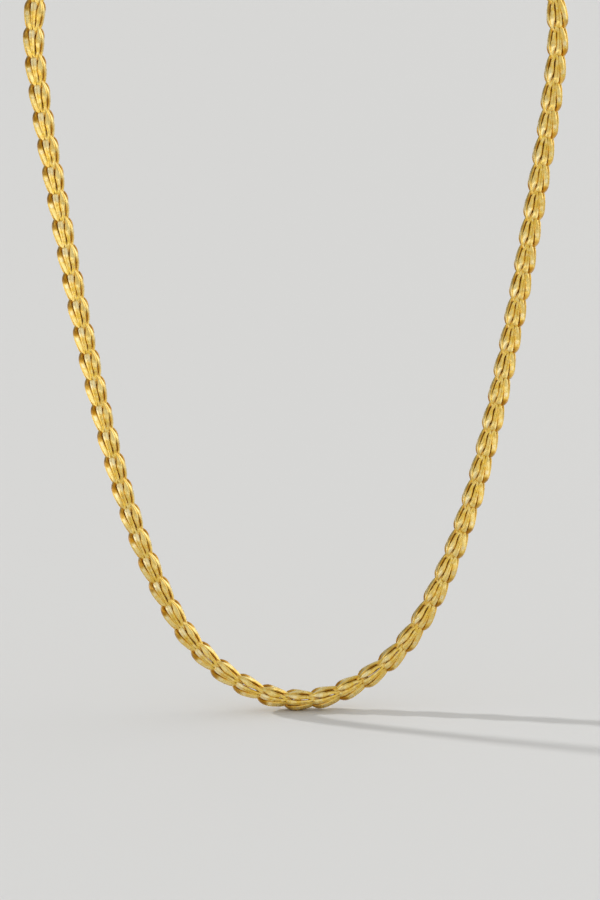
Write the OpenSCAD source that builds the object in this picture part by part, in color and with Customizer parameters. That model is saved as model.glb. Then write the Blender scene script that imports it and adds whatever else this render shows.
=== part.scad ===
// Chain necklace: two crossed rows of folded wire links, each fold threaded
// through both eyes of the link before it in its row, closed by a barrel clasp.
// The loop hangs in the XZ plane and faces -Y. The origin is the point at the
// nape where the underside of the clasp rests.

/* [Necklace] */
// Length of the whole loop, along its centre line and through the clasp
loop_len = 450; // [435:1:465]
// Number of tiers, each with one face link and one side link
tiers = 79; // [74:1:80]
// Outward turn of the chain's face on both legs, in degrees
face_turn = 8; // [-20:1:20]

/* [Links] */
// Thickness of the wire
wire_d = 0.46; // [0.4:0.01:0.48]
// Half the distance between the two wires of a fold
fold_half = 0.256; // [0.254:0.001:0.26]
// Distance of the fold's corners, the knuckles, from the chain's line
knuckle_r = 1.92; // [1.88:0.01:1.96]
// Half the width of an eye at its shoulders
eye_half = 0.917; // [0.91:0.001:0.925]
// Distance of an eye's shoulders from the chain's line
eye_r = 1.32; // [1.31:0.01:1.34]
// Distance of an eye's tip from the chain's line
tip_r = 0.93; // [0.9:0.01:1]
// How far the shoulders reach past the next fold
shoulder_rise = 0.18; // [0.15:0.01:0.22]
// How far the tips reach past the next fold
tip_rise = 1.2; // [1.15:0.01:1.25]
// How far each side link lies behind the face link of its tier
stagger = 0.95; // [0.9:0.01:1]

/* [Clasp] */
// Length of the clasp's barrel
barrel_l = 17; // [14:0.5:20]
// Diameter of the clasp's barrel
barrel_d = 5.2; // [5.2:0.1:6]
// Rounding of the barrel's ends
barrel_round = 0.3; // [0.1:0.05:0.3]
// Thickness of the three staples that hold the chain's two ends
staple_d = 0.6; // [0.5:0.02:0.6]

/* [Hidden] */
gold = [0.83, 0.66, 0.27];

// The hang of the two legs, from the lowest point up: height, half the width
hang = [
    [0.6, 4.9], [2.5, 10], [5.5, 14.9], [9.5, 19.4], [15, 23.7],
    [22, 27.5], [31, 31.3], [42, 35], [56, 38.6], [72, 42],
    [90, 45.3], [108, 48.2], [122, 50.3], [138, 51.4]
];
leg_top = hang[len(hang) - 1];

// Over the legs the loop closes in two quarter ellipses and a straight nape
nape_half = 13;
arch_rise = 33;
arch_steps = 6;
nape_steps = 3;

// Points of the right half, from the lowest point to just before the nape's middle
half_route = [
    for (row = hang) [row[1], row[0]],
    for (i = [1 : arch_steps])
        let (a = 90 * i / arch_steps)
        [nape_half + (leg_top[1] - nape_half) * cos(a), leg_top[0] + arch_rise * sin(a)],
    for (i = [1 : nape_steps - 1])
        [nape_half * (1 - i / nape_steps), leg_top[0] + arch_rise]
];
half_count = len(half_route);

// The whole loop as seen from the front: from the middle of the nape down the
// left leg, round the lowest point and up the right leg
knots = [
    [0, leg_top[0] + arch_rise],
    for (i = [half_count - 1 : -1 : 0]) [-half_route[i][0], half_route[i][1]],
    [0, 0],
    for (p = half_route) p
];
knot_count = len(knots);
function knot(i) = knots[(i + knot_count) % knot_count];

// Direction of the smooth curve at a knot, from the parabola through its neighbours
function knot_slope(i) =
    let (before = norm(knot(i) - knot(i - 1)), after = norm(knot(i + 1) - knot(i)))
    ((knot(i) - knot(i - 1)) * after / before + (knot(i + 1) - knot(i)) * before / after)
        / (before + after);

// A point of the curve between knot i and the next, t going from 0 to 1
function curve(i, t) =
    let (span = norm(knot(i + 1) - knot(i)))
    knot(i) * (1 - 3 * t * t + 2 * t * t * t)
        + knot(i + 1) * (3 * t * t - 2 * t * t * t)
        + span * knot_slope(i) * (t - 2 * t * t + t * t * t)
        + span * knot_slope(i + 1) * (t * t * t - t * t);

curve_steps = 12;
curve_points = [
    for (i = [0 : knot_count - 1], j = [0 : curve_steps - 1]) curve(i, j / curve_steps),
    knots[0]
];
last_point = len(curve_points) - 1;
function add_up(values, i = 0, total = 0) =
    i == len(values) ? [total] : concat([total], add_up(values, i + 1, total + values[i]));
curve_dist = add_up([for (i = [1 : last_point]) norm(curve_points[i] - curve_points[i - 1])]);
route_scale = loop_len / curve_dist[last_point];
route_x = [for (i = [0 : last_point]) [curve_dist[i] * route_scale, curve_points[i][0] * route_scale]];
route_z = [
    for (i = [0 : last_point])
        [curve_dist[i] * route_scale, (curve_points[i][1] - knots[0][1]) * route_scale + barrel_d / 2]
];
function route(s) = [lookup(s, route_x), 0, lookup(s, route_z)];

// Directions at a distance along the route: along it, and out of the loop
look = 0.6;
function along(s) = let (d = route(s + look) - route(s - look)) d / norm(d);
function outward(s) = let (t = along(s)) [t[2], 0, -t[0]];
toward_front = [0, -1, 0];

// Directions that the face links and the side links look in
function face_dir(s) = toward_front * cos(face_turn) + outward(s) * sin(face_turn);
function side_dir(s) = outward(s) * cos(face_turn) - toward_front * sin(face_turn);

// Where the chain starts and ends beside the barrel, with the last tips kept clear
first_gap = 0.8;
tip_clear = 0.1;
last_gap = stagger + tip_rise + wire_d + tip_clear;
chain_start = barrel_l / 2 + first_gap;
chain_end = loop_len - barrel_l / 2 - last_gap;
pitch = (chain_end - chain_start) / tiers;

// One link as a closed loop of ten corners: across, sideways, along the chain
link_corners = [
    [knuckle_r, fold_half, 0], [-knuckle_r, fold_half, 0],
    [-eye_r, eye_half, pitch + shoulder_rise], [-tip_r, 0, pitch + tip_rise],
    [-eye_r, -eye_half, pitch + shoulder_rise],
    [-knuckle_r, -fold_half, 0], [knuckle_r, -fold_half, 0],
    [eye_r, -eye_half, pitch + shoulder_rise], [tip_r, 0, pitch + tip_rise],
    [eye_r, eye_half, pitch + shoulder_rise]
];
// The side of the wire that faces out of the link at each corner
link_outs = [
    [1, 0, -1], [-1, 0, -1], [-1, 0, 0], [-1, 0, 0], [-1, 0, 0],
    [-1, 0, -1], [1, 0, -1], [1, 0, 0], [1, 0, 0], [1, 0, 0]
];
corner_count = len(link_corners);
wire_sides = 5;
// Radius of a five-sided wire whose section has the area of the round one
wire_r = wire_d / 2 * sqrt(PI / (wire_sides / 2 * sin(360 / wire_sides)));

function unit(v) = v / norm(v);
// The section of the wire at corner i, cut along the mitre between its two stretches
function link_ring(i) =
    let (
        here = link_corners[i],
        into = unit(here - link_corners[(i + corner_count - 1) % corner_count]),
        out_of = unit(link_corners[(i + 1) % corner_count] - here),
        ahead = unit(into + out_of),
        bend = unit(out_of - into),
        stretch = 1 / (ahead * out_of) - 1,
        u = unit(link_outs[i] - (link_outs[i] * ahead) * ahead),
        v = cross(ahead, u)
    )
    [
        for (k = [0 : wire_sides - 1])
            let (a = 360 * (k + 0.5) / wire_sides, w = wire_r * (cos(a) * u + sin(a) * v))
            here + w + (w * bend) * stretch * bend
    ];
link_points = [for (i = [0 : corner_count - 1]) each link_ring(i)];
link_size = len(link_points);
link_faces = [
    for (i = [0 : corner_count - 1], k = [0 : wire_sides - 1])
        let (
            a = i * wire_sides,
            b = (i + 1) % corner_count * wire_sides,
            next = (k + 1) % wire_sides
        )
        each [[a + k, b + k, b + next], [a + k, b + next, a + next]]
];

// A face link has its eyes at the front and back, a side link at the two sides
function placed(p, s, is_side) =
    let (d = s + p[2], across = is_side ? side_dir(d) : face_dir(d),
        sideways = is_side ? -face_dir(d) : side_dir(d))
    route(d) + across * p[0] + sideways * p[1];

// The links of the tiers from first to last, as separate closed wires
module chain(first, last) {
    starts = [
        for (n = [first : last])
            each [[chain_start + n * pitch, false], [chain_start + n * pitch + stagger, true]]
    ];
    color(gold)
    polyhedron(
        points = [for (l = starts) each [for (p = link_points) placed(p, l[0], l[1])]],
        faces = [
            for (i = [0 : len(starts) - 1])
                each [for (f = link_faces) f + [1, 1, 1] * i * link_size]
        ]
    );
}

// The two nodes of the chain meet at the tier nearest to the lowest point
left_tiers = floor((loop_len / 2 - chain_start) / pitch);
module chain_left() {
    chain(0, left_tiers - 1);
}
module chain_right() {
    chain(left_tiers, tiers - 1);
}

// A staple of round wire: a run across at z = 0, with two legs up to z = leg
bend_r = 0.55;
module staple(half_run, leg) {
    straight = half_run - bend_r;
    translate([-straight, 0, 0])
        rotate([0, 90, 0])
        cylinder(h = 2 * straight, d = staple_d, $fn = 32);
    for (turn = [0, 180])
        rotate([0, 0, turn]) {
            translate([straight, 0, bend_r])
                rotate([90, 0, 0])
                rotate([0, 0, -90])
                rotate_extrude(angle = 90, $fn = 48)
                translate([bend_r, 0])
                circle(d = staple_d, $fn = 32);
            translate([half_run, 0, bend_r])
                cylinder(h = leg - bend_r, d = staple_d, $fn = 32);
        }
}

// The barrel: half its outline, straight with rounded ends, turned about its axis
module barrel() {
    inner_r = barrel_d / 2 - barrel_round;
    inner_l = barrel_l - 2 * barrel_round;
    rotate_extrude($fn = 64) {
        translate([0, -barrel_l / 2])
            square([inner_r, barrel_l]);
        translate([0, -inner_l / 2])
            square([barrel_d / 2, inner_l]);
        for (end = [-1, 1])
            translate([inner_r, end * inner_l / 2])
                circle(r = barrel_round, $fn = 32);
    }
}

// The clasp: a closed barrel. One staple hooks round the first two folds where they
// cross, and two crossed staples run through the eyes of the last two links.
leg_sink = 1;
hook_half = 1.35;
hook_clear = 0.2;
hook_reach = stagger + wire_d / 2 + staple_d / 2 + hook_clear;
module clasp() {
    color(gold)
    translate([0, 0, barrel_d / 2]) {
        rotate([0, 90, 0])
            barrel();
        translate([-chain_start - hook_reach, 0, 0])
            rotate([0, 90, 0])
            rotate([0, 0, 45 - face_turn])
            staple(hook_half, first_gap + hook_reach + leg_sink);
        for (side = [0, 1])
            translate([loop_len - chain_end - side * stagger, 0, 0])
                rotate([0, -90, 0])
                rotate([0, 0, face_turn + 90 + 90 * side])
                staple(knuckle_r, last_gap - side * stagger + leg_sink);
    }
}

chain_left();
chain_right();
clasp();
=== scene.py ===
"""A gold chain necklace, hung up with its lowest link just over a pale floor.

The part's chain of plain wire links is replaced by links with wide, cut bands. They follow
the part's route at its pitch, with three links a tier where the part has two.
"""

import math

import bpy
import numpy as np
from mathutils import Matrix, Vector


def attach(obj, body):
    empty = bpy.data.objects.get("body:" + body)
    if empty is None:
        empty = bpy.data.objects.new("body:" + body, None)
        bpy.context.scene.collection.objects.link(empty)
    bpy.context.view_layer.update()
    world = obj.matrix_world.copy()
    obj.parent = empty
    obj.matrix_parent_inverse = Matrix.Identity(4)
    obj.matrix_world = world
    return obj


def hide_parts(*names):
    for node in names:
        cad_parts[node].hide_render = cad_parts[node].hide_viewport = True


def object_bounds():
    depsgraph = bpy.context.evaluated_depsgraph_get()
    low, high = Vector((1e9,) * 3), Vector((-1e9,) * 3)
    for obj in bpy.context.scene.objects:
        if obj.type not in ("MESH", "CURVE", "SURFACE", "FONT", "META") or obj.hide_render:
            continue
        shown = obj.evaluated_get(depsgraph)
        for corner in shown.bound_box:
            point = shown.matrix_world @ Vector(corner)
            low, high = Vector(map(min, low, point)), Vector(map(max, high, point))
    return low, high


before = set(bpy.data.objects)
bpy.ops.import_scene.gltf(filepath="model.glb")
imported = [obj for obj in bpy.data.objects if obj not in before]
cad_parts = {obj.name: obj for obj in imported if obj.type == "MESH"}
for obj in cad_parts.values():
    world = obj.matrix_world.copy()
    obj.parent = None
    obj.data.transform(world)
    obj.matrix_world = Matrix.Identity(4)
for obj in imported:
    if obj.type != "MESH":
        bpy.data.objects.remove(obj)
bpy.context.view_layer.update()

MM = 0.001
PHOTO_HEIGHT = 900  # pixels
TINY = 1e-9  # keeps a division from dividing by zero

# The chain's route and tiers, in millimetres, as in the part
LOOP_LEN = 450.0
TIERS = 79
FACE_TURN = math.radians(8)
BARREL_L = 17.0
BARREL_D = 5.2
FIRST_GAP = 0.8
LAST_GAP = 2.71
NAPE_HALF = 13.0
ARCH_RISE = 33.0
ARCH_STEPS = 6
NAPE_STEPS = 3
CURVE_STEPS = 12
LOOK = 0.6
HANG = [
    # height over the lowest point, half the loop's width there
    (0.6, 4.9), (2.5, 10), (5.5, 14.9), (9.5, 19.4), (15, 23.7),
    (22, 27.5), (31, 31.3), (42, 35), (56, 38.6), (72, 42),
    (90, 45.3), (108, 48.2), (122, 50.3), (138, 51.4),
]

# A quarter of a link, in millimetres: half of one wire of the fold, then the arm from there
# round to the tip of an eye. Angles are round the chain's line, from the way that the link's
# heads face. The crown is how far the band's edges lie below its middle, or below the edge
# beside its twin where the lean is 1.
FOLD = [
    # along, across, sideways, width, thickness, crown, lean
    (0.00, 0.00, 0.26, 0.44, 0.40, 0.00, 0.0),
    (0.00, 0.60, 0.26, 0.44, 0.40, 0.00, 0.0),
    (0.00, 1.05, 0.26, 0.50, 0.44, 0.02, 0.5),
]
FRONT_ARM = [
    # along, angle, radius, width, thickness, crown, lean
    (0.45, 9, 1.34, 0.54, 0.46, 0.06, 1.0),
    (0.70, 10, 1.53, 0.64, 0.52, 0.12, 1.0),
    (1.20, 10, 1.68, 0.68, 0.54, 0.16, 1.0),
    (1.90, 10, 1.74, 0.66, 0.52, 0.18, 1.0),
    (2.70, 10, 1.68, 0.62, 0.46, 0.17, 1.0),
    (3.50, 10, 1.58, 0.58, 0.40, 0.15, 1.0),
    (4.30, 10, 1.50, 0.54, 0.38, 0.14, 1.0),
    (4.90, 10.5, 1.43, 0.54, 0.36, 0.10, 0.6),
    (5.30, 14, 1.36, 0.52, 0.34, 0.02, 0.1),
    (5.65, 26, 1.22, 0.46, 0.34, 0.00, 0.0),
    (6.10, 28, 1.10, 0.46, 0.34, 0.00, 0.0),
    (6.45, 14, 1.05, 0.46, 0.34, 0.00, 0.0),
    (6.55, 0, 1.02, 0.46, 0.34, 0.00, 0.0),
]
OUTER_ARM = [
    # along, angle, radius, width, thickness, crown, lean
    (0.15, 8, 1.22, 0.48, 0.44, 0.02, 1.0),
    (0.42, 10, 1.47, 0.68, 0.48, 0.06, 1.0),
    (0.80, 13, 1.70, 0.92, 0.52, 0.12, 1.0),
    (1.25, 16, 1.86, 1.10, 0.54, 0.16, 1.0),
    (1.80, 18, 1.92, 1.20, 0.54, 0.18, 1.0),
    (2.50, 19, 1.91, 1.24, 0.50, 0.18, 0.8),
    (3.20, 21, 1.84, 1.28, 0.46, 0.16, 0.5),
    (3.90, 24, 1.75, 1.28, 0.42, 0.14, 0.2),
    (4.50, 28, 1.66, 1.20, 0.40, 0.12, 0.0),
    (5.00, 33, 1.55, 1.04, 0.38, 0.10, 0.0),
    (5.40, 35, 1.42, 0.80, 0.36, 0.04, 0.0),
    (5.75, 32, 1.28, 0.56, 0.34, 0.00, 0.0),
    (6.10, 25, 1.17, 0.46, 0.34, 0.00, 0.0),
    (6.45, 14, 1.08, 0.46, 0.34, 0.00, 0.0),
    (6.58, 0, 1.04, 0.46, 0.34, 0.00, 0.0),
]
INNER_ARM = [
    # along, angle, radius, width, thickness, crown, lean
    (0.15, 8, 1.22, 0.46, 0.44, 0.02, 1.0),
    (0.55, 9, 1.44, 0.56, 0.48, 0.06, 1.0),
    (1.05, 12, 1.66, 0.78, 0.52, 0.12, 1.0),
    (1.60, 15.5, 1.82, 1.02, 0.54, 0.16, 1.0),
    (2.15, 18.5, 1.90, 1.16, 0.54, 0.18, 1.0),
    (2.70, 19.5, 1.90, 1.16, 0.50, 0.17, 0.8),
    (3.35, 19, 1.82, 1.04, 0.48, 0.15, 0.5),
    (4.00, 17.5, 1.72, 0.92, 0.46, 0.12, 0.3),
    (4.70, 17.5, 1.61, 0.80, 0.42, 0.10, 0.2),
    (5.30, 21.5, 1.51, 0.64, 0.38, 0.06, 0.0),
    (5.85, 29, 1.42, 0.50, 0.36, 0.04, 0.0),
    (6.30, 28, 1.32, 0.46, 0.34, 0.00, 0.0),
    (6.60, 20, 1.20, 0.46, 0.34, 0.00, 0.0),
    (6.80, 9, 1.12, 0.46, 0.34, 0.00, 0.0),
    (6.84, 0, 1.10, 0.46, 0.34, 0.00, 0.0),
]
# Rings in a quarter of a link, and points round a band
QUARTER_SAMPLES, BAND_POINTS = 32, 14
BAND_POWER = 0.5  # 1 for an oval section, 0 for a box
CROWN_POWER = 1.5  # 1 for a crown like a roof, 2 for a round one
SHARP_OVER = math.radians(32)  # from this angle on, an edge between faces is shaded sharp
# The bands bend round the chain's line from the first of these radii on, fully at the second
WRAP_FROM, WRAP_FULL = 1.0, 1.5
# Inside this distance from the chain's line the band turns to face back along the chain
FOLD_REACH = 1.3
# From this distance along, the arm moves with the fold that its eye holds
EYE_FROM, EYE_FULL = 4.0, 5.4

# The scoop cut on each side of an outer link's head: where it lies, the angle that it faces,
# its distance there, and the curve of the cutter
SCOOP_ALONG = 2.6
SCOOP_FACES = math.radians(28)
SCOOP_AT = 2.01
SCOOP_CURVE = 0.3

# A tier has three links, turned round the chain's line, with their folds one on another. The
# first value is how far along it their heads lie.
HEADS_AT = 0.45
FAMILIES = {
    # name: (turn in degrees, how far along its fold lies from the heads, arm)
    "front": (0, 0.42, FRONT_ARM),
    "outer": (58, 0.0, OUTER_ARM),
    "inner": (-58, -0.42, INNER_ARM),
}
LOOSE_TURN = math.radians(2)  # links lie up to this far off their even turn
# Steps of a sine from link to link, for the links' loose turn and for the strength of their
# patches of painted highlight and painted shade
LOOSE_STEP, FADE_STEP = 2.4, 3.9

# Attributes of the links' points that the material reads: where it paints shade on the band
# edges, where it paints light between the links, and the patches of painted highlight, painted
# glint and painted shade
MARKS = ("edge", "deep", "painted_shade", "pale", "painted_glint")
# Patches of painted light and shade on the bands, fading out at their edges: painted highlights
# in pale gold, painted glints in near-white gold, and painted shade in dark gold
PATCHES = [
    # leg, family, mark, along, angle, half length, half angle
    ("both", "front", "pale", 1.5, 5, 1.0, 22),
    ("left", "front", "painted_glint", 1.2, 8, 0.9, 18),
    ("left", "outer", "painted_shade", 1.1, 20, 1.2, 28),
    ("right", "outer", "painted_shade", 0.9, 20, 1.0, 25),
    ("both", "outer", "painted_glint", 2.65, 27, 0.6, 15),
    ("both", "outer", "pale", 4.2, 29, 1.3, 20),
    ("left", "inner", "pale", 1.6, 18, 1.5, 26),
    ("right", "inner", "painted_glint", 1.5, 20, 1.2, 15),
    ("right", "inner", "painted_shade", 1.2, 36, 1.0, 9),
    ("both", "inner", "pale", 2.4, 10, 1.3, 26),
    ("both", "inner", "painted_shade", 4.1, 3, 1.4, 9),
]
PATCH_FADES, PATCH_ENDS = 0.6, 1.1
# How much of their painted light and shade the patches lose on the links where they are
# faintest
FAINTEST = {"left": 0.25, "right": 0.5}
# Painted shade: the edges of a band are painted darker between these shares of its half width,
# and its underside fully
EDGE_FROM, EDGE_FULL = 0.45, 0.9
# Gold lies deep between the links from the first of these radii inwards; there it is painted
# paler, painted light that lifts the shade between the links, and made rougher
DEEP_FROM, DEEP_FULL = 1.5, 1.2


def smooth_step(u):
    """0 below 0, 1 above 1, and an eased rise between them."""
    u = np.clip(u, 0, 1)
    return u * u * (3 - 2 * u)


def half_route():
    """Points of the right half of the loop, from the lowest one to the nape."""
    points = [(width, height) for height, width in HANG]
    top_height, top_width = HANG[-1]
    for i in range(1, ARCH_STEPS + 1):
        a = math.pi / 2 * i / ARCH_STEPS
        reach = NAPE_HALF + (top_width - NAPE_HALF) * math.cos(a)
        points.append((reach, top_height + ARCH_RISE * math.sin(a)))
    for i in range(1, NAPE_STEPS):
        points.append((NAPE_HALF * (1 - i / NAPE_STEPS), top_height + ARCH_RISE))
    return points


class Route:
    """The chain's centre line, by distance from the middle of the nape down the left leg."""

    def __init__(self):
        half = half_route()
        nape = (0, HANG[-1][0] + ARCH_RISE)
        knots = np.array([nape, *[(-x, z) for x, z in reversed(half)], (0, 0), *half], float)
        after = np.roll(knots, -1, 0) - knots
        before = knots - np.roll(knots, 1, 0)
        span = np.linalg.norm(after, axis=1)[:, None]
        last_span = np.roll(span, 1, 0)
        slope = (before * span / last_span + after * last_span / span) / (span + last_span)
        points = []
        for i in range(len(knots)):
            j = (i + 1) % len(knots)
            for t in np.arange(CURVE_STEPS) / CURVE_STEPS:
                points.append(
                    knots[i] * (1 - 3 * t * t + 2 * t**3)
                    + knots[j] * (3 * t * t - 2 * t**3)
                    + span[i] * slope[i] * (t - 2 * t * t + t**3)
                    + span[i] * slope[j] * (t**3 - t * t)
                )
        points = np.array([*points, knots[0]])
        dist = np.concatenate([[0], np.cumsum(np.linalg.norm(np.diff(points, axis=0), axis=1))])
        scale = LOOP_LEN / dist[-1]
        self.dist = dist * scale
        self.x = points[:, 0] * scale
        self.z = (points[:, 1] - nape[1]) * scale + BARREL_D / 2

    def point(self, s):
        x = np.interp(s, self.dist, self.x)
        return np.stack([x, np.zeros_like(x), np.interp(s, self.dist, self.z)], -1)

    def outward(self, s):
        run = self.point(s + LOOK) - self.point(s - LOOK)
        run /= np.linalg.norm(run, axis=-1, keepdims=True)
        return np.stack([run[..., 2], np.zeros_like(s), -run[..., 0]], -1)

    def place(self, p, start, turn):
        """Points of a link (across, sideways, along), turned, and bent along the route."""
        s = start + p[:, 2]
        front = np.array([0.0, -1.0, 0.0])
        out = self.outward(s)
        face = front * math.cos(turn) + out * math.sin(turn)
        side = out * math.cos(turn) - front * math.sin(turn)
        return self.point(s) + face * p[:, :1] + side * p[:, 1:2]


CHAIN_START = BARREL_L / 2 + FIRST_GAP
PITCH = (LOOP_LEN - BARREL_L / 2 - LAST_GAP - CHAIN_START) / TIERS
LEFT_TIERS = int((LOOP_LEN / 2 - CHAIN_START) / PITCH)


def through(rows, count):
    """A smooth curve through the rows of a table, as count evenly spaced rows."""
    rows = np.array(rows, float)
    gaps = np.linalg.norm(np.diff(rows[:, :3], axis=0), axis=1)
    at = np.concatenate([[0], np.cumsum(gaps)])
    slope = np.gradient(rows, at, axis=0)
    s = np.linspace(0, at[-1], count)
    i = np.clip(np.searchsorted(at, s, side="right") - 1, 0, len(rows) - 2)
    h = (at[i + 1] - at[i])[:, None]
    t = (s - at[i])[:, None] / h
    return (
        rows[i] * (1 - 3 * t * t + 2 * t**3)
        + rows[i + 1] * (3 * t * t - 2 * t**3)
        + h * slope[i] * (t - 2 * t * t + t**3)
        + h * slope[i + 1] * (t**3 - t * t)
    )


def link_loop(family):
    """The closed loop of a link: one quarter, mirrored into the other three."""
    _, fold_at, arm = FAMILIES[family]
    rows = list(FOLD)
    for along, angle, radius, *section in arm:
        a = math.radians(angle)
        rows.append((along, radius * math.cos(a), radius * math.sin(a), *section))
    rows = np.array(rows)
    # The fold lies apart from the heads, and so does the eye that the next fold runs through
    follows = smooth_step((rows[:, 0] - EYE_FROM) / (EYE_FULL - EYE_FROM))
    follows[: len(FOLD)] = 1
    rows[:, 0] += fold_at * follows
    quarter = through(rows, QUARTER_SAMPLES)
    back_again = quarter[-2::-1].copy()
    back_again[:, 2] *= -1
    front = np.concatenate([quarter, back_again])
    rear = front[-2:0:-1].copy()
    rear[:, 1] *= -1
    return np.concatenate([front, rear])


def link_mesh(family, leg):
    """One link of a family: vertices (across, sideways, along), faces, and its leg's marks."""
    loop = link_loop(family)
    centre = loop[:, [1, 2, 0]]
    width, thickness, crown, lean = loop[:, 3:].T[:, :, None]
    run = np.roll(centre, -1, 0) - np.roll(centre, 1, 0)
    run /= np.linalg.norm(run, axis=1, keepdims=True)
    # The band's outer side faces away from the chain's line, and back along it at the fold
    radial = centre * np.array([1.0, 1.0, 0.0])
    inside = np.clip(1 - np.abs(centre[:, :1]) / FOLD_REACH, 0, 1)
    facing = radial / (np.linalg.norm(radial, axis=1, keepdims=True) + TINY)
    facing = facing * (1 - inside) + np.array([0.0, 0.0, -1.0]) * inside
    facing -= run * (facing * run).sum(1, keepdims=True)
    facing /= np.linalg.norm(facing, axis=1, keepdims=True)
    across = np.cross(run, facing)
    # The section: how far each point lies towards the band's edge, and above its middle
    a = (np.arange(BAND_POINTS) + 0.5) * 2 * math.pi / BAND_POINTS
    aside = np.sign(np.cos(a)) * np.abs(np.cos(a)) ** BAND_POWER
    raised = np.sign(np.sin(a)) * np.abs(np.sin(a)) ** BAND_POWER
    from_line = (1 - lean) * aside + lean * (1 + aside) / 2
    up = raised * thickness / 2 - crown * np.abs(from_line) ** CROWN_POWER
    up = centre[:, None] + facing[:, None] * up[..., None]
    spread = across[:, None] * (aside * width / 2)[..., None]
    straight = up + spread
    # The wide bands bend round the chain's line
    radius = np.linalg.norm(radial, axis=1)[:, None]
    round_way = np.cross(np.array([0.0, 0.0, 1.0]), radial)
    round_way /= np.linalg.norm(round_way, axis=1, keepdims=True) + TINY
    turn = (spread * round_way[:, None]).sum(-1) / radius
    angle = np.arctan2(up[..., 1], up[..., 0]) + turn
    reach = np.hypot(up[..., 0], up[..., 1])
    wrapped = np.stack([reach * np.cos(angle), reach * np.sin(angle), straight[..., 2]], -1)
    share = smooth_step((radius - WRAP_FROM) / (WRAP_FULL - WRAP_FROM))[..., None]
    verts = straight * (1 - share) + wrapped * share
    radius = np.hypot(verts[..., 0], verts[..., 1])
    angle = np.arctan2(np.abs(verts[..., 1]), np.abs(verts[..., 0]))
    if family == "outer":
        # What lies over the scoops is pressed down to them
        scoop_at = SCOOP_AT + SCOOP_CURVE * (verts[..., 2] - SCOOP_ALONG) ** 2
        over = np.maximum(1 - scoop_at / (radius * np.cos(angle - SCOOP_FACES) + TINY), 0)
        verts[..., :2] *= (1 - over)[..., None]
    marks = {name: np.zeros_like(radius) for name in MARKS}
    # Painted shade on a band's edges and underside
    edge = np.where(raised > 0, np.abs(aside), 1.0)
    marks["edge"] += smooth_step((edge - EDGE_FROM) / (EDGE_FULL - EDGE_FROM))
    # Painted light between the links, where the gold lies deep
    marks["deep"] += smooth_step((DEEP_FROM - radius) / (DEEP_FROM - DEEP_FULL))
    # Patches of painted highlight, painted glint and painted shade
    for of_leg, of_family, mark, along, middle, half_length, half_angle in PATCHES:
        if of_family == family and of_leg in (leg, "both"):
            off = (np.degrees(angle) - middle) / half_angle
            far = np.hypot((verts[..., 2] - along) / half_length, off)
            fade = smooth_step((far - PATCH_FADES) / (PATCH_ENDS - PATCH_FADES))
            marks[mark] = np.maximum(marks[mark], 1 - fade)
    rings, n = len(loop), BAND_POINTS
    faces = [
        (
            r * n + k,
            (r + 1) % rings * n + k,
            (r + 1) % rings * n + (k + 1) % n,
            r * n + (k + 1) % n,
        )
        for r in range(rings)
        for k in range(n)
    ]
    return verts.reshape(-1, 3), np.array(faces), {k: v.reshape(-1) for k, v in marks.items()}


def uneven(tier, family, step):
    """A number from -1 to 1 that changes from link to link."""
    return math.sin(tier * step + FAMILIES[family][0])


def chain_piece(name, leg, family, tiers, material):
    """The links of one family in a leg's tiers as one mesh."""
    route = Route()
    turn = math.radians(FAMILIES[family][0]) + FACE_TURN
    verts, faces, marks = link_mesh(family, leg)
    count = len(tiers)
    all_verts = []
    for tier in tiers:
        loose = LOOSE_TURN * uneven(tier, family, LOOSE_STEP)
        start = CHAIN_START + tier * PITCH + HEADS_AT
        all_verts.append(route.place(verts, start, turn + loose))
    all_faces = np.concatenate([faces + i * len(verts) for i in range(count)])
    mesh = bpy.data.meshes.new(name)
    mesh.from_pydata((np.concatenate(all_verts) * MM).tolist(), [], all_faces.tolist())
    mesh.materials.append(material)
    patch_marks = {row[2] for row in PATCHES}
    # The patches' painted light and shade are fainter on some links than on others
    fading = np.array([(1 + uneven(tier, family, FADE_STEP)) / 2 for tier in tiers])
    shades = 1 - FAINTEST[leg] * fading
    for label, values in marks.items():
        shade = shades if label in patch_marks else np.ones(count)
        layer = mesh.attributes.new(label, "FLOAT", "POINT")
        layer.data.foreach_set("value", np.outer(shade, values).ravel().astype(np.float32))
    mesh.shade_smooth()
    mesh.set_sharp_from_angle(angle=SHARP_OVER)
    piece = bpy.data.objects.new(name, mesh)
    bpy.context.scene.collection.objects.link(piece)
    return piece


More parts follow.
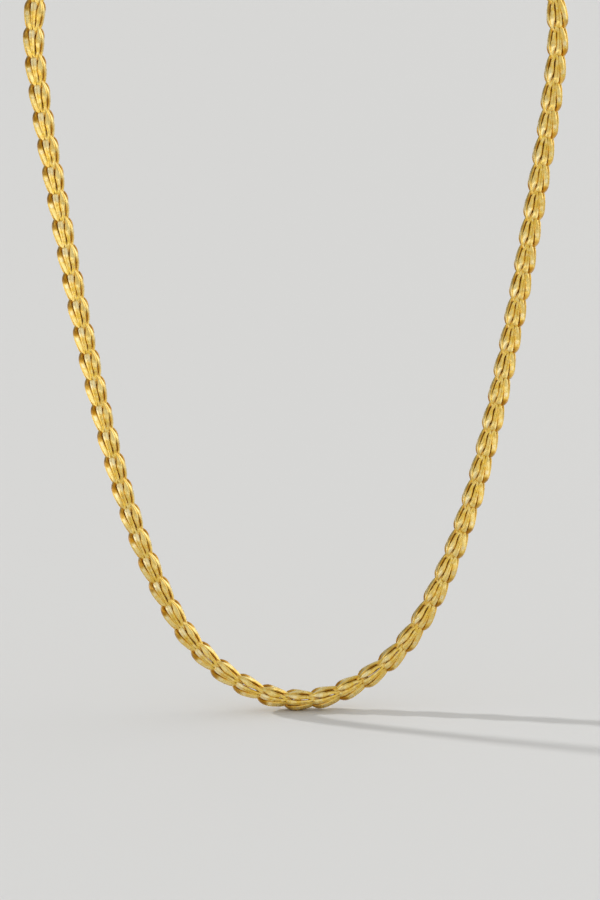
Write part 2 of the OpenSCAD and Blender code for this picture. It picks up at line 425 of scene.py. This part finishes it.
class Nodes:
    """Short ways to add nodes to a material."""

    # The Mix node's sockets for colours
    MIX_COLOURS = (6, 7)
    MIX_RESULT = 2

    def __init__(self, name):
        self.material = bpy.data.materials.new(name)
        self.material.use_nodes = True
        self.tree = self.material.node_tree
        self.shader = self.tree.nodes["Principled BSDF"]

    def link(self, source, socket):
        self.tree.links.new(source, socket)

    def metal(self, colour, roughness, height):
        """The material as metal, with a bump from a height in metres."""
        bump = self.tree.nodes.new("ShaderNodeBump")
        bump.inputs["Distance"].default_value = 1.0
        self.shader.inputs["Metallic"].default_value = 1.0
        self.link(colour, self.shader.inputs["Base Color"])
        self.link(roughness, self.shader.inputs["Roughness"])
        self.link(height, bump.inputs["Height"])
        self.link(bump.outputs["Normal"], self.shader.inputs["Normal"])
        return self.material

    def mark(self, name):
        node = self.tree.nodes.new("ShaderNodeAttribute")
        node.attribute_name = name
        return node.outputs["Fac"]

    def noise(self, size, detail=2.0):
        """Noise with grains of about the given size in millimetres, from 0 to 1."""
        node = self.tree.nodes.new("ShaderNodeTexNoise")
        node.inputs["Scale"].default_value = 1 / (size * MM)
        node.inputs["Detail"].default_value = detail
        place = self.tree.nodes.new("ShaderNodeTexCoord")
        self.link(place.outputs["Object"], node.inputs["Vector"])
        return node.outputs["Fac"]

    def facets(self, size, slope):
        """Flat facets, each tilted its own way: height in metres, and a chance for each."""
        place = self.tree.nodes.new("ShaderNodeTexCoord").outputs["Object"]
        cells = self.tree.nodes.new("ShaderNodeTexVoronoi")
        cells.inputs["Scale"].default_value = 1 / (size * MM)
        self.link(place, cells.inputs["Vector"])
        offset = self.vector("SUBTRACT", place, cells.outputs["Position"])
        tilt = self.vector("SUBTRACT", cells.outputs["Color"], (0.5, 0.5, 0.5))
        height = self.vector("DOT_PRODUCT", offset, tilt)
        return self.math("MULTIPLY", height, slope), cells.outputs["Color"]

    def vector(self, operation, first, second):
        node = self.tree.nodes.new("ShaderNodeVectorMath")
        node.operation = operation
        for value, socket in ((first, node.inputs[0]), (second, node.inputs[1])):
            if isinstance(value, tuple):
                socket.default_value = value
            else:
                self.link(value, socket)
        return node.outputs["Value" if operation == "DOT_PRODUCT" else "Vector"]

    def spread(self, value, low, high, start, end):
        """The value's range from start to end, spread from low to high."""
        node = self.tree.nodes.new("ShaderNodeMapRange")
        node.inputs["From Min"].default_value = start
        node.inputs["From Max"].default_value = end
        node.inputs["To Min"].default_value = low
        node.inputs["To Max"].default_value = high
        self.link(value, node.inputs["Value"])
        return node.outputs["Result"]

    def math(self, operation, first, second):
        node = self.tree.nodes.new("ShaderNodeMath")
        node.operation = operation
        for value, socket in ((first, node.inputs[0]), (second, node.inputs[1])):
            if isinstance(value, float):
                socket.default_value = value
            else:
                self.link(value, socket)
        return node.outputs["Value"]

    def mix(self, factor, first, second):
        """A colour between two, each a colour or a node's output."""
        node = self.tree.nodes.new("ShaderNodeMix")
        node.data_type = "RGBA"
        self.link(factor, node.inputs["Factor"])
        for value, number in zip((first, second), self.MIX_COLOURS):
            socket = node.inputs[number]
            if isinstance(value, tuple):
                socket.default_value = (*value, 1)
            else:
                self.link(value, socket)
        return node.outputs[self.MIX_RESULT]


# Colours of the gold, in turn: plain; paler, for random tone and painted highlights; near
# white, for painted glints; brown, for random facets and painted shade on the band edges; dark,
# for painted shade; and light, for painted light between the links
GOLD = (0.87, 0.61, 0.11)
PALE_GOLD = (0.94, 0.76, 0.31)
PAINTED_GLINT_GOLD = (0.96, 0.85, 0.51)
BROWN_GOLD = (0.80, 0.48, 0.06)
PAINTED_SHADE_GOLD = (0.46, 0.21, 0.012)
PAINTED_RECESS_LIGHT_GOLD = (0.95, 0.70, 0.25)

# Sizes and heights of the chain's surface, in millimetres
SHADE_GRAIN = 0.7
GLOSS_GRAIN = 0.5
FACET = 0.75
FACET_SLOPE = 0.06
WAVE = 1.0
WAVE_HEIGHT = 0.07
# How much of their colour the random facets, the painted glints and the painted shade on the
# edges give where they are full
FACET_SHADE, PAINTED_GLINT_SHARE, PAINTED_EDGE_SHADE = 0.5, 0.9, 0.6
DEEP_ROUGHER = 0.4
# The clasp's surface, in millimetres
CLASP_GRAIN = 1.5
WEAR = 0.6
WEAR_HEIGHT = 0.004


def chain_material():
    """Cut gold in uneven shades, with faint waves and facets, and painted highlights, glints,
    shade and light from the marks.
    """
    n = Nodes("cut_gold")
    deep = n.mark("deep")
    height, chance = n.facets(FACET, FACET_SLOPE)
    waves = n.math("MULTIPLY", n.noise(WAVE, detail=0.5), WAVE_HEIGHT * MM)
    height = n.math("ADD", height, waves)
    colour = n.mix(n.spread(n.noise(SHADE_GRAIN), 0.0, 0.8, 0.4, 0.6), GOLD, PALE_GOLD)
    # Painted highlights on the pale patches
    colour = n.mix(n.mark("pale"), colour, PALE_GOLD)
    colour = n.mix(n.spread(chance, FACET_SHADE, 0.0, 0.3, 0.5), colour, BROWN_GOLD)
    # Painted glints on the white patches
    colour = n.mix(n.math("MULTIPLY", n.mark("painted_glint"), PAINTED_GLINT_SHARE), colour, PAINTED_GLINT_GOLD)
    # Painted shade on the band edges and undersides
    colour = n.mix(n.math("MULTIPLY", n.mark("edge"), PAINTED_EDGE_SHADE), colour, BROWN_GOLD)
    # Painted shade and dark reflections on the brown patches
    colour = n.mix(n.mark("painted_shade"), colour, PAINTED_SHADE_GOLD)
    # Painted light: paler gold between the links, lifting their shade
    colour = n.mix(deep, colour, PAINTED_RECESS_LIGHT_GOLD)
    roughness = n.spread(n.noise(GLOSS_GRAIN), 0.16, 0.34, 0.3, 0.7)
    roughness = n.math("ADD", roughness, n.math("MULTIPLY", deep, DEEP_ROUGHER))
    return n.metal(colour, roughness, height)


def clasp_material():
    """Polished gold with fine wear."""
    n = Nodes("polished_gold")
    colour = n.mix(n.spread(n.noise(CLASP_GRAIN), 0.0, 0.35, 0.3, 0.7), GOLD, PALE_GOLD)
    roughness = n.spread(n.noise(WEAR, detail=6.0), 0.14, 0.3, 0.35, 0.65)
    height = n.math("MULTIPLY", n.noise(GLOSS_GRAIN, detail=4.0), WEAR_HEIGHT * MM)
    return n.metal(colour, roughness, height)


FLOOR_COLOUR = (0.65, 0.65, 0.645, 1)
FLOOR_ROUGHNESS = 0.7


def floor_material():
    material = bpy.data.materials.new("pale_floor")
    material.use_nodes = True
    shader = material.node_tree.nodes["Principled BSDF"]
    shader.inputs["Base Color"].default_value = FLOOR_COLOUR
    shader.inputs["Roughness"].default_value = FLOOR_ROUGHNESS
    return material


# The pieces
gold = chain_material()
legs = {
    "left": range(0, LEFT_TIERS),
    "right": range(LEFT_TIERS, TIERS),
}
for leg, tiers in legs.items():
    node = "chain_" + leg
    for family in FAMILIES:
        links = chain_piece(node + "_" + family, leg, family, tiers, gold)
        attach(links, "root")
        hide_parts(node)
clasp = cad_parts["clasp"]
clasp.data.materials.clear()
clasp.data.materials.append(clasp_material())

# The floor, just under the lowest link
FLOOR_SIZE = 40.0
FLOOR_GAP = 0.02 * MM
floor_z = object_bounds()[0].z
floor_mesh = bpy.data.meshes.new("floor")
h = FLOOR_SIZE / 2
floor_mesh.from_pydata([(-h, -h, 0), (h, -h, 0), (h, h, 0), (-h, h, 0)], [], [(0, 1, 2, 3)])
floor_mesh.materials.append(floor_material())
floor = bpy.data.objects.new("floor", floor_mesh)
floor.location.z = floor_z - FLOOR_GAP
bpy.context.scene.collection.objects.link(floor)

# The camera, at the photograph's angle
ELEVATION = math.radians(12)
DISTANCE = 0.7
TARGET = Vector((0.00025, 0, -0.11603))
FOCAL_PIXELS = 3478.6
CAMERA_ROLL = math.radians(0.4)
SENSOR = 36.0
CLIP_START = 0.01
camera_data = bpy.data.cameras.new("camera")
camera_data.sensor_fit = "VERTICAL"
camera_data.sensor_height = SENSOR
camera_data.lens = FOCAL_PIXELS / PHOTO_HEIGHT * SENSOR
camera_data.clip_start = CLIP_START
camera = bpy.data.objects.new("camera", camera_data)
back = Vector((0, -math.cos(ELEVATION), math.sin(ELEVATION)))
aim = back.to_track_quat("Z", "Y").to_matrix().to_4x4()
place = Matrix.Translation(TARGET + back * DISTANCE)
camera.matrix_world = place @ aim @ Matrix.Rotation(-CAMERA_ROLL, 4, "Z")
bpy.context.scene.collection.objects.link(camera)
bpy.context.scene.camera = camera

# The light: a low sun from the left and behind, in a pale tent with brighter and darker sides
SUN_FROM = (-1.9, 0.6, 1.0)
SUN_STRENGTH = 2.1
SUN_ANGLE = math.radians(3)
sun_data = bpy.data.lights.new("sun", "SUN")
sun_data.energy = SUN_STRENGTH
sun_data.angle = SUN_ANGLE
sun = bpy.data.objects.new("sun", sun_data)
sun.visible_glossy = False
sun.rotation_euler = Vector(SUN_FROM).to_track_quat("Z", "Y").to_euler()
bpy.context.scene.collection.objects.link(sun)

TENT = 0.6
TENT_COLOUR = (1.0, 0.995, 0.98, 1)
TENT_SIDES = {
    # name: (direction, cosine where it fades out, cosine where it is full, added strength)
    "dark_left": ((-0.75, 0.65, 0.05), 0.75, 0.92, -0.28),
    "left_window": ((-0.88, -0.25, 0.42), 0.955, 0.985, 0.6),
    "bright_right": ((0.78, 0.44, 0.43), 0.7, 0.95, 0.9),
    "low_right": ((0.98, -0.14, 0.05), 0.85, 0.97, 0.1),
    "front_top": ((0.0, -0.9, 0.4), 0.7, 0.95, 0.2),
}
# White cards that lie on the floor outside the picture and show in the gold
CARD_LIFT = 1 * MM
CARDS = {
    # name: (x, y, width, depth in metres, brightness)
    "card_left": (-0.25, -0.08, 0.34, 0.42, 0.55),
    "card_front": (0.0, -0.4, 0.5, 0.3, 0.7),
    "card_right": (0.27, -0.08, 0.34, 0.42, 0.35),
}
for name, (x, y, width, depth, brightness) in CARDS.items():
    card_data = bpy.data.lights.new(name, "AREA")
    card_data.shape = "RECTANGLE"
    card_data.size = width
    card_data.size_y = depth
    # The power, in watts, of a card of this area and brightness
    card_data.energy = brightness * math.pi * width * depth
    card = bpy.data.objects.new(name, card_data)
    card.location = (x, y, floor_z + CARD_LIFT)
    card.rotation_euler = (math.pi, 0, 0)
    card.visible_camera = False
    bpy.context.scene.collection.objects.link(card)


def studio_world():
    """The pale tent round the scene."""
    world = bpy.data.worlds.new("studio")
    world.use_nodes = True
    nodes, links = world.node_tree.nodes, world.node_tree.links
    background = nodes["Background"]
    way = nodes.new("ShaderNodeTexCoord").outputs["Generated"]
    total = None
    for name, (direction, fades, full, added) in TENT_SIDES.items():
        dot = nodes.new("ShaderNodeVectorMath")
        dot.operation = "DOT_PRODUCT"
        dot.name = name
        dot.inputs[1].default_value = Vector(direction).normalized()
        links.new(way, dot.inputs[0])
        spot = nodes.new("ShaderNodeMapRange")
        spot.interpolation_type = "SMOOTHSTEP"
        spot.inputs["From Min"].default_value = fades
        spot.inputs["From Max"].default_value = full
        spot.inputs["To Max"].default_value = added
        links.new(dot.outputs["Value"], spot.inputs["Value"])
        add = nodes.new("ShaderNodeMath")
        add.operation = "ADD"
        if total is None:
            add.inputs[0].default_value = TENT
        else:
            links.new(total, add.inputs[0])
        links.new(spot.outputs["Result"], add.inputs[1])
        total = add.outputs["Value"]
    background.inputs["Color"].default_value = TENT_COLOUR
    links.new(total, background.inputs["Strength"])
    return world


bpy.context.scene.world = studio_world()
bpy.context.scene.view_settings.view_transform = "Standard"
